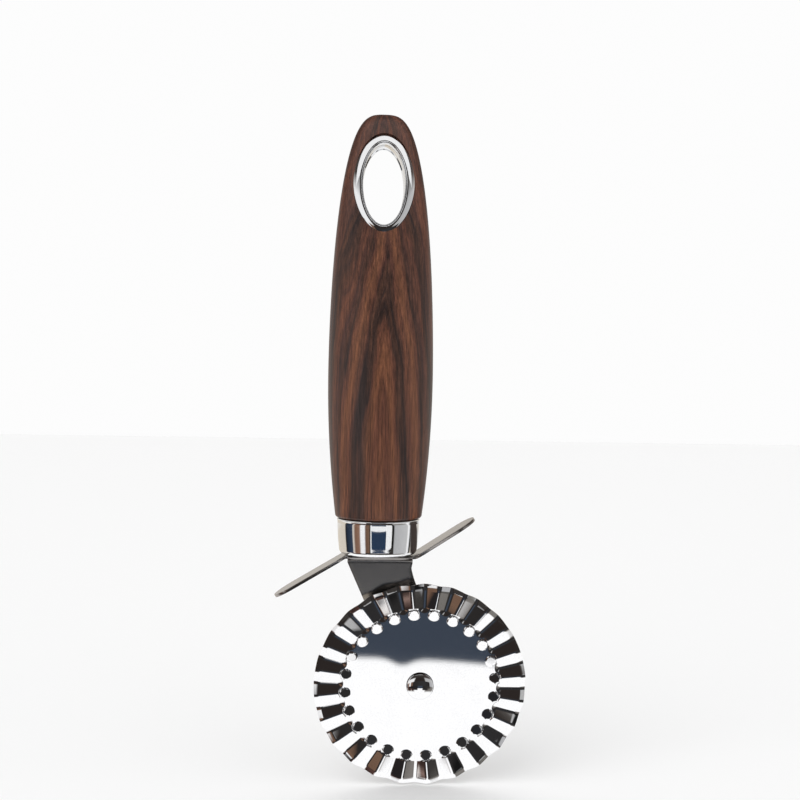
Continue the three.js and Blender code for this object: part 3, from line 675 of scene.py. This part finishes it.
def makeBracket():
    shape = bracketShape
    middle = guardTop - mm(shape["sheet"] / 2)
    bend = mm(shape["bendInner"] + shape["sheet"] / 2)
    lean = math.asin(-axleAxis.z)
    frontRow = -mm(shape["halfDepth"]) + bend + mm(shape["sheet"] / 2)
    backRow = mm(shape["halfDepth"])
    left, right = mm(shape["neckLeft"]), mm(shape["neckRight"])

    # the guard's flat middle
    deselectAll()
    bpy.ops.mesh.primitive_grid_add(x_subdivisions=shape["columns"], y_subdivisions=shape["rows"], size=1,
                                    location=((left + right) / 2, (frontRow + backRow) / 2, middle))
    bracket = bpy.context.object
    bracket.name = "guardAndNeck"
    bracket.scale = (right - left, backRow - frontRow, 1)
    bpy.ops.object.transform_apply(location=True, rotation=True, scale=True)

    # the neck: round the fold, then down the lean to its round end
    bpy.ops.object.mode_set(mode="EDIT")
    selectWhere(bracket, lambda co: co.y < frontRow + 1e-6)
    place = Vector(((left + right) / 2, frontRow, middle))
    turnTotal = math.pi / 2 + lean
    for i in range(shape["foldSteps"]):
        before, after = turnTotal * i / shape["foldSteps"], turnTotal * (i + 1) / shape["foldSteps"]
        step = Vector((0, math.sin(before) - math.sin(after), math.cos(after) - math.cos(before))) * bend
        place += step
        extrudeRow(step, 1, 0, place)
    foldEnd = place.copy()
    down = Vector((0, math.sin(lean), -math.cos(lean)))
    axleFoot = wheelCentre - foldEnd
    axleDrop = axleFoot.dot(down) * 1000
    axleX = wheelCentre.x * 1000
    neckEnd = axleDrop + shape["endRadius"]
    rows = [row for row in shape["neckRows"] if row < axleDrop - 4]
    endRows = shape["endRows"]
    rows += [neckEnd - (neckEnd - rows[-1]) * (1 - i / endRows) ** 2 for i in range(1, endRows + 1)]
    width, drop = shape["neckRight"] - shape["neckLeft"], 0
    centre = (shape["neckRight"] + shape["neckLeft"]) / 2
    for row in rows:
        lowLeft, lowRight = neckEdges(row, axleX, axleDrop)
        newWidth, newCentre = max(lowRight - lowLeft, 0.02), (lowLeft + lowRight) / 2
        step = down * mm(row - drop) + Vector((mm(newCentre - centre), 0, 0))
        place += step
        extrudeRow(step, newWidth / width, 0, place)
        width, drop, centre = newWidth, row, newCentre

    # the wings: a small bend, then out along the slope to a leaf end
    for side, wing in ((-1, shape["leftWing"]), (1, shape["rightWing"])):
        edge = left if side < 0 else right
        selectWhere(bracket, lambda co: abs(co.x - edge) < 1e-6 and abs(co.z - middle) < 1e-6
                    and co.y > frontRow - 1e-6)
        place = Vector((edge, (frontRow + backRow) / 2, middle))
        slope = math.radians(wing["slope"])
        toRoot = abs(mm(shape["left"] if side < 0 else shape["right"]) - edge)
        halfNow, middleNow = (backRow - frontRow) / 2, (frontRow + backRow) / 2
        bendSteps, length = 5, wing["length"]
        outs = [toRoot * 1000 * (i + 1) / 2 for i in range(2)]
        stops = outs + [toRoot * 1000 + shape["wingBend"] * (i + 1) / bendSteps for i in range(bendSteps)]
        straight = shape["wingRows"] + [length - back for back in shape["tipRows"]]
        stops += [toRoot * 1000 + along for along in straight if toRoot * 1000 + along > stops[-1] + 0.4]
        travelled = 0
        for stop in stops:
            past = stop - toRoot * 1000
            turned = slope * smoothstep(past + shape["wingBend"] * 0.35, 0, shape["wingBend"] * 1.35)
            stepLength = mm(stop - travelled)
            step = Vector((side * stepLength * math.cos(turned), 0, -stepLength * math.sin(turned)))
            halfNext = mm(max(leafHalfDepth(past, length), shape["leafTip"]))
            share = smoothstep(past, -0.2, 2.0)
            halfNext = lerp((backRow - frontRow) / 2, halfNext, share)
            middleNext = (frontRow + backRow) / 2 * (1 - share)
            step.y = middleNext - middleNow
            place += step
            extrudeRow(step, halfNext / halfNow, 1, place)
            halfNow, middleNow, travelled = halfNext, middleNext, stop

    bpy.ops.object.mode_set(mode="OBJECT")
    applyModifier(bracket, "SOLIDIFY", thickness=mm(shape["sheet"]), offset=0, use_even_offset=True)
    for cutterPlace, radius, matrix in (
            (Vector((0, 0, middle)), shape["rodHole"], Matrix.Identity(4)),
            (wheelCentre - axleAxis * mm(shape["standoff"]), shape["axleHole"], axleFrame)):
        deselectAll()
        bpy.ops.mesh.primitive_cylinder_add(vertices=64, radius=mm(radius), depth=mm(4))
        cutter = bpy.context.object
        turned = matrix.copy()
        turned.translation = cutterPlace
        placeOn(cutter, turned)
        cutAway(bracket, cutter)
    applyModifier(bracket, "BEVEL", width=mm(shape["edgeRound"]), segments=3, limit_method="ANGLE",
                  angle_limit=math.radians(50))
    smooth(bracket)
    return bracket


finishPiece(makeBracket(), "handle", "satin_steel", satinSteel, "guard_bracket")
print("guard and neck made")


wheelShape = {
    "radius": 32.7, "sheet": 0.8, "bore": 2.25, "flutes": 24, "firstCrest": 9.0,
    "innerDepth": 0.36, "rimDepth": 0.58,
    "crestEdge": 0.1, "crestRound": 0.08, "valleyEdge": 0.88, "valleyRound": 0.05,     # in half pitches
    "crestStart": 25.2, "crestRun": 1.0, "valleyStart": 25.3, "valleyRun": 3.0,
    "rampStart": 21.4, "rampEnd": 24.9,
    "ballPlace": 23.2, "ballRadius": 1.7, "ballEdge": 0.2, "ballHeight": 0.52, "ballReach": 25.8,
    "edgeBevel": 1.35, "edge": 0.3, "crease": 0.04, "sidesPerFlute": 32,
    "flatRadii": [5, 10, 15, 18, 20], "pressedFrom": 20.5, "ballRings": (21.2, 26, 32),
    "fluteRadii": [27, 28.2, 29.4, 30.6],
}


# The pressed wave, 1 at the crest and -1 in the valley: straight sides between rounded corners
def waveHeight(share):
    shape = wheelShape

    def risen(x, corner):
        if x < -corner:
            return 0
        if x > corner:
            return x
        return (x + corner) ** 2 / (4 * corner)

    fall = risen(share - shape["crestEdge"], shape["crestRound"])
    fall -= risen(share - shape["valleyEdge"], shape["valleyRound"])
    return 1 - 2 * fall / (shape["valleyEdge"] - shape["crestEdge"])


# How far the sheet swings to the front at a place on the wheel, in millimetres
def fluteSwing(x, y):
    shape = wheelShape
    radius = math.hypot(x, y)
    pitch = 2 * math.pi / shape["flutes"]
    angle = math.atan2(x, y) - math.radians(shape["firstCrest"])
    turn = abs((angle / pitch + 0.5) % 1 - 0.5) * pitch
    share = turn / (pitch / 2)
    outward = min(1, max(0, (radius - shape["rampEnd"]) / (shape["radius"] - shape["rampEnd"])))
    depth = lerp(shape["innerDepth"], shape["rimDepth"], outward)
    crestShort = max(0, shape["crestStart"] - radius) / shape["crestRun"]
    valleyShort = max(0, shape["valleyStart"] - radius) / shape["valleyRun"]
    crest = max(0, waveHeight(min(1, math.hypot(share, crestShort))))
    valley = max(0, -waveHeight(1 - min(1, math.hypot(1 - share, valleyShort))))
    if radius < shape["ballReach"]:
        ramp = (radius * math.cos(turn) - shape["rampStart"]) / (shape["rampEnd"] - shape["rampStart"])
        away = math.hypot(radius * math.cos(turn) - shape["ballPlace"], radius * math.sin(turn))
        inside = 1 - smoothstep(away, shape["ballRadius"] - shape["ballEdge"], shape["ballRadius"])
        crest = max(crest, min(1, max(0, ramp)) * inside * shape["ballHeight"] / depth)
    return depth * (crest - valley)


def makeWheel():
    shape = wheelShape
    half, edge, crease = shape["sheet"] / 2, shape["edge"] / 2, shape["crease"]
    bevelStart = shape["radius"] - shape["edgeBevel"]
    firstRing, lastRing, rings = shape["ballRings"]
    radii = [shape["bore"] + 0.1] + shape["flatRadii"]
    radii += [lerp(firstRing, lastRing, i / rings) for i in range(rings + 1)]
    radii += shape["fluteRadii"] + [bevelStart - crease]
    back = [(shape["bore"], -half + 0.1)] + [(radius, -half) for radius in radii]
    back += [(lerp(bevelStart, shape["radius"], i / 4), -lerp(half, edge, i / 4)) for i in (0.15, 2, 3.85)]
    profile = back + [(shape["radius"], -edge), (shape["radius"], edge)]
    profile += [(radius, -height) for radius, height in reversed(back)] + [back[0]]
    profile = [(mm(r), mm(h)) for r, h in profile]
    wheel = turnPiece("flutedWheel", profile, shape["flutes"] * shape["sidesPerFlute"])

    def flute(co):
        pressed = math.hypot(co.x, co.y) > mm(shape["pressedFrom"])
        swing = fluteSwing(co.x * 1000, co.y * 1000) if pressed else 0
        return Vector((co.x, co.y, co.z + mm(swing)))

    reshape(wheel, flute)
    placeOn(wheel, axleFrame)
    smooth(wheel)
    return wheel


finishPiece(makeWheel(), "cutting_wheel", "polished_steel", polishedSteel, "wheel")
print("wheel made")


axleShape = {
    "shank": 2.1, "headRadius": 4.2, "headHeight": 1.7, "headEdge": 0.25,
    "tailRadius": 3.3, "tailHeight": 1.1, "rearWasher": 0.8, "rearWasherRadius": 4.6,
    "spacerRadius": 5.0, "washerBore": 2.4,
}


# A rivet head's outline; a negative height is a tail
def domeProfile(radius, base, height, edge, steps=12):
    edgeTop = base + math.copysign(edge, height)
    points = [(radius, base), (radius, edgeTop)]
    for i in range(1, steps + 1):
        angle = math.pi / 2 * i / steps
        points.append((radius * math.cos(angle), edgeTop + (base + height - edgeTop) * math.sin(angle)))
    return points


# Rings with softened edges, between two distances along the axle
def washerProfile(inner, outer, back, front, soft=0.15):
    return [(inner, back), (outer - soft, back), (outer, back + soft), (outer, front - soft),
            (outer - soft, front), (inner, front), (inner, back)]


def makeAxlePieces():
    shape = axleShape
    gap = touchGap * 1000
    sheet, wheelSheet = bracketShape["sheet"], wheelShape["sheet"]
    neckFront = -bracketShape["standoff"] + sheet / 2
    neckBack = -bracketShape["standoff"] - sheet / 2
    headBase = wheelSheet / 2 + gap
    tailBase = neckBack - 2 * gap - shape["rearWasher"]
    tail = domeProfile(shape["tailRadius"], tailBase, -shape["tailHeight"], 0.1)
    head = domeProfile(shape["headRadius"], headBase, shape["headHeight"], shape["headEdge"])
    rivet = list(reversed(tail)) + [(shape["shank"], tailBase), (shape["shank"], headBase)] + head
    made = [
        ("wheelRivet", rivet, "polished_steel", polishedSteel, "axle_rivet"),
        ("spacerWasher", washerProfile(shape["washerBore"], shape["spacerRadius"], neckFront + gap,
                                       -wheelSheet / 2 - gap), "nylon", nylonFinish, "wheel_spacer"),
        ("tailWasher", washerProfile(shape["washerBore"], shape["rearWasherRadius"],
                                     neckBack - gap - shape["rearWasher"], neckBack - gap),
         "satin_steel", satinSteel, "rear_washer"),
    ]
    for name, profile, slot, material, node in made:
        piece = turnPiece(name, [(mm(r), mm(h)) for r, h in profile])
        placeOn(piece, axleFrame)
        smooth(piece)
        finishPiece(piece, "handle", slot, material, node)


rodShape = {"radius": 3.0, "neck": 2.5, "head": 3.5, "headHeight": 1.5, "top": 46, "firstGroove": 6,
            "grooves": 6, "pitch": 6, "grooveWidth": 1.6, "grooveDepth": 0.4}


def makeRod():
    shape = rodShape
    gap = touchGap * 1000
    top = (guardTop - rimHeight) * 1000
    headTop = top - bracketShape["sheet"] - gap
    profile = list(reversed(domeProfile(shape["head"], headTop, -shape["headHeight"], 0.3)))
    profile += [(shape["neck"], headTop), (shape["neck"], top + gap), (shape["radius"], top + gap)]
    for i in range(shape["grooves"]):
        start = shape["firstGroove"] + i * shape["pitch"]
        profile += [(shape["radius"], start),
                    (shape["radius"] - shape["grooveDepth"], start + shape["grooveWidth"] / 2),
                    (shape["radius"], start + shape["grooveWidth"])]
    profile += [(shape["radius"], shape["top"] - 1), (shape["radius"] - 1, shape["top"]), (0, shape["top"])]
    rod = turnPiece("grooveRod", [(mm(r), rimHeight + mm(h)) for r, h in profile], 64)
    smooth(rod)
    return rod


makeAxlePieces()
finishPiece(makeRod(), "handle", "satin_steel", satinSteel, "tang_rod")
coreNode = frame["nodes"]["handle_core"]
coreNode.data.materials.clear()
coreNode.data.materials.append(corePlastic)
print("rivet, washers and rod made")


studio = {
    "floorSize": 6.0, "floorGap": 0.0005, "floorColour": (0.92, 0.92, 0.92),
    "background": (0.98, 0.98, 0.98), "ambient": (0.7, 0.7, 0.7),
}


def makeFloor(look):
    deselectAll()
    bpy.ops.mesh.primitive_plane_add(size=look["floorSize"],
                                     location=(0, 0, cadBox[0][2] - look["floorGap"]))
    floor = bpy.context.object
    floor.name = "paleFloor"
    material, tree, shader = newMaterial("paleFloor")
    shader.inputs["Base Color"].default_value = (*look["floorColour"], 1)
    shader.inputs["Roughness"].default_value = 0.9
    shader.inputs["Specular IOR Level"].default_value = 0.1
    floor.data.materials.append(material)
    floor.visible_glossy = False


# What the metal mirrors round the room, in layers from below to above. Each has the height where
# it starts, as the sine of the elevation, and colours by degrees to the right of the front
sideStrips = [
    (-180, (0.75, 0.68, 0.58)), (-108, (0.75, 0.68, 0.58)), (-104, (0.01, 0.01, 0.012)),
    (-98, (0.02, 0.03, 0.05)), (-78, (0.04, 0.06, 0.10)), (-75, (0.85, 0.78, 0.70)),
    (-68, (0.22, 0.12, 0.08)), (-54, (0.30, 0.17, 0.12)), (-50, (1.0, 1.0, 1.0)),
    (-39, (1.0, 1.0, 1.0)), (-36, (0.16, 0.09, 0.06)), (-26, (0.20, 0.12, 0.08)),
    (39, (0.01, 0.01, 0.01)), (42, (0.01, 0.01, 0.01)), (44, (0.50, 0.50, 0.51)),
    (87, (0.60, 0.60, 0.60)), (89, (1.0, 1.0, 1.0)), (95, (1.0, 1.0, 1.0)), (98, (0.03, 0.03, 0.03)),
    (103, (0.03, 0.03, 0.03)), (106, (0.7, 0.62, 0.52)), (116, (0.7, 0.62, 0.52)),
    (120, (0.12, 0.07, 0.05)), (138, (0.06, 0.04, 0.03)), (155, (0.8, 0.8, 0.8))]
room = [
    {"from": -1, "soft": 0.01, "strips": [(-180, (1.2, 1.2, 1.2))]},
    {"from": -0.71, "soft": 0.04, "strips": [
        (-180, (1.2, 1.2, 1.2)), (-86, (1.0, 1.0, 1.0)), (-80, (0.11, 0.07, 0.06)),
        (-46, (0.07, 0.035, 0.03)), (-41, (0.16, 0.09, 0.07)), (-38, (0.02, 0.013, 0.011)),
        (-36, (0.85, 0.8, 0.77)), (-34, (0.9, 0.85, 0.8)), (-33, (0.10, 0.05, 0.04)),
        (-24, (0.05, 0.03, 0.025)), (-16, (1.2, 1.2, 1.2)), (18, (1.2, 1.2, 1.2)),
        (25, (0.20, 0.18, 0.165)), (44, (0.24, 0.22, 0.205)), (80, (0.26, 0.25, 0.24)),
        (86, (1.1, 1.1, 1.1))]},
    {"from": -0.64, "soft": 0.006, "strips": [
        (-180, (1.0, 1.0, 1.0)), (-92, (1.0, 0.98, 0.95)), (-86, (0.20, 0.14, 0.12)),
        (-50, (0.02, 0.015, 0.014)), (-41, (0.12, 0.06, 0.05)), (-37, (0.02, 0.013, 0.011)),
        (-35, (0.30, 0.20, 0.17)), (-33, (0.05, 0.03, 0.025)), (-6, (0.022, 0.02, 0.02)),
        (-3, (1.2, 1.2, 1.2)), (11, (1.2, 1.2, 1.2)), (13, (0.022, 0.022, 0.024)),
        (30, (0.03, 0.028, 0.027)), (40, (0.19, 0.175, 0.16)), (86, (0.30, 0.29, 0.27)),
        (92, (1.0, 1.0, 1.0))]},
    {"from": -0.562, "soft": 0.002, "strips": [
        (-180, (1.0, 1.0, 1.0)), (-92, (1.0, 0.98, 0.95)), (-86, (0.20, 0.14, 0.12)),
        (-62, (0.10, 0.055, 0.045)), (-50, (0.02, 0.015, 0.014)), (-6, (0.022, 0.022, 0.024)),
        (-2, (0.052, 0.066, 0.092)), (10.5, (0.052, 0.066, 0.092)), (13, (0.025, 0.024, 0.024)),
        (42, (0.05, 0.046, 0.043)), (54, (0.22, 0.21, 0.195)), (86, (0.30, 0.29, 0.27)),
        (92, (1.0, 1.0, 1.0))]},
    {"from": -0.44, "soft": 0.01, "strips": sideStrips + [
        (-24, (0.028, 0.025, 0.024)), (16, (0.036, 0.036, 0.038)), (37, (0.028, 0.026, 0.026))]},
    {"from": -0.135, "soft": 0.01, "strips": [
        (-180, (0.8, 0.76, 0.7)), (-100, (0.9, 0.88, 0.85)), (-60, (1.0, 1.0, 1.0)),
        (-24, (1.0, 1.0, 1.0)), (-19, (0.028, 0.022, 0.02)), (18, (0.03, 0.024, 0.022)),
        (21, (0.075, 0.066, 0.06)), (24, (0.5, 0.5, 0.5)), (80, (0.6, 0.6, 0.6)),
        (120, (0.8, 0.76, 0.7))]},
    {"from": 0.30, "soft": 0.08, "strips": [
        (-180, (0.25, 0.22, 0.20)), (-90, (0.06, 0.05, 0.045)), (0, (0.035, 0.03, 0.028)),
        (60, (0.07, 0.055, 0.05)), (120, (0.16, 0.13, 0.12))]},
]
tableEdge = {"heading": 3.9, "width": 0.8, "dip": 0.0045}      # where the table's far edge sags


def makeWorld(look):
    world = bpy.data.worlds.new("studioWorld")
    bpy.context.scene.world = world
    world.use_nodes = True
    tree = world.node_tree
    tree.nodes.clear()
    direction = addNode(tree, "ShaderNodeTexCoord").outputs["Generated"]
    parts = addNode(tree, "ShaderNodeSeparateXYZ", {0: direction})
    heading = maths(tree, "ARCTAN2", parts.outputs[0], maths(tree, "MULTIPLY", parts.outputs[1], -1))
    turn = maths(tree, "MULTIPLY_ADD", heading, 0.5 / math.pi, 0.5)
    width = math.radians(tableEdge["width"])
    offset = maths(tree, "MULTIPLY_ADD", heading, 1 / width, -tableEdge["heading"] / tableEdge["width"])
    sag = maths(tree, "EXPONENT", maths(tree, "MULTIPLY", square(tree, offset), -1))
    height = maths(tree, "MULTIPLY_ADD", sag, tableEdge["dip"], parts.outputs[2])
    mirrored = None
    for layer in room:
        stops = sorted(((degrees + 180) / 360, colour) for degrees, colour in layer["strips"])
        strips = colourRamp(tree, turn, stops)
        if mirrored is None:
            mirrored = strips
            continue
        share = addNode(tree, "ShaderNodeMapRange", {
            "Value": height, "From Min": layer["from"] - layer["soft"],
            "From Max": layer["from"] + layer["soft"]})
        mirrored = mixColours(tree, share.outputs[0], mirrored, strips)
    light = addNode(tree, "ShaderNodeLightPath")
    seen = mixColours(tree, light.outputs["Is Glossy Ray"], look["ambient"], mirrored)
    seen = mixColours(tree, light.outputs["Is Camera Ray"], seen, look["background"])
    background = addNode(tree, "ShaderNodeBackground", {"Color": seen})
    output = addNode(tree, "ShaderNodeOutputWorld")
    tree.links.new(background.outputs[0], output.inputs[0])


# Large soft lights, so the floor is lit evenly: which way they stand, spread in degrees, strength
lamps = {
    "keyLeft": {"place": (-0.8, -1.0, 1.1), "spread": 50, "power": 1.0},
    "fillRight": {"place": (1.0, -0.7, 0.6), "spread": 60, "power": 0.45},
    "rearTop": {"place": (0.1, 1.0, 0.9), "spread": 60, "power": 0.4},
}


def makeLamp(name, look):
    deselectAll()
    bpy.ops.object.light_add(type="SUN", location=look["place"])
    light = bpy.context.object
    light.name = name
    light.data.energy = look["power"]
    light.data.angle = math.radians(look["spread"])
    light.rotation_euler = (-Vector(look["place"])).to_track_quat("-Z", "Y").to_euler()
    light.visible_glossy = False


# Boards that only the metal mirrors, as a photographer sets up dark and white flags
flags = {
    "bezelBoard": {"glow": (1.0, 1.0, 1.0), "corners": [
        (-0.08, -0.05, 0.010), (0.08, -0.05, 0.010), (0.08, -0.02, 0.09), (-0.08, -0.02, 0.09)]},
    "ferruleShade": {"glow": (0.045, 0.04, 0.037), "corners": [
        (-0.030, -0.0498, -0.1394), (0.040, -0.0498, -0.1394),
        (0.010, -0.0160, -0.1292), (-0.010, -0.0160, -0.1292)]},
    "ferruleCard": {"glow": (1.0, 1.0, 1.0), "corners": [
        (-0.0184, -0.050, -0.1385), (0.032, -0.050, -0.1385),
        (0.032, -0.050, -0.1185), (-0.0184, -0.050, -0.1185)]},
    "ferruleSquare": {"glow": (0.022, 0.042, 0.085), "corners": [
        (-0.0158, -0.0495, -0.1372), (0.0158, -0.0495, -0.1372),
        (0.0158, -0.0495, -0.1250), (-0.0158, -0.0495, -0.1250)]},
}


def makeFlag(name, corners, glow):
    mesh = bpy.data.meshes.new(name)
    mesh.from_pydata(corners, [], [(0, 1, 2, 3)])
    flag = bpy.data.objects.new(name, mesh)
    bpy.context.scene.collection.objects.link(flag)
    material = bpy.data.materials.new(name)
    material.use_nodes = True
    tree = material.node_tree
    tree.nodes.clear()
    light = addNode(tree, "ShaderNodeEmission", {"Color": (*glow, 1), "Strength": 1})
    output = addNode(tree, "ShaderNodeOutputMaterial")
    tree.links.new(light.outputs[0], output.inputs[0])
    mesh.materials.append(material)
    flag.visible_camera = False
    flag.visible_diffuse = False
    flag.visible_shadow = False
    flag.visible_transmission = False


makeFloor(studio)
makeWorld(studio)
for name, look in lamps.items():
    makeLamp(name, look)
for name, look in flags.items():
    makeFlag(name, look["corners"], look["glow"])
print("studio set")
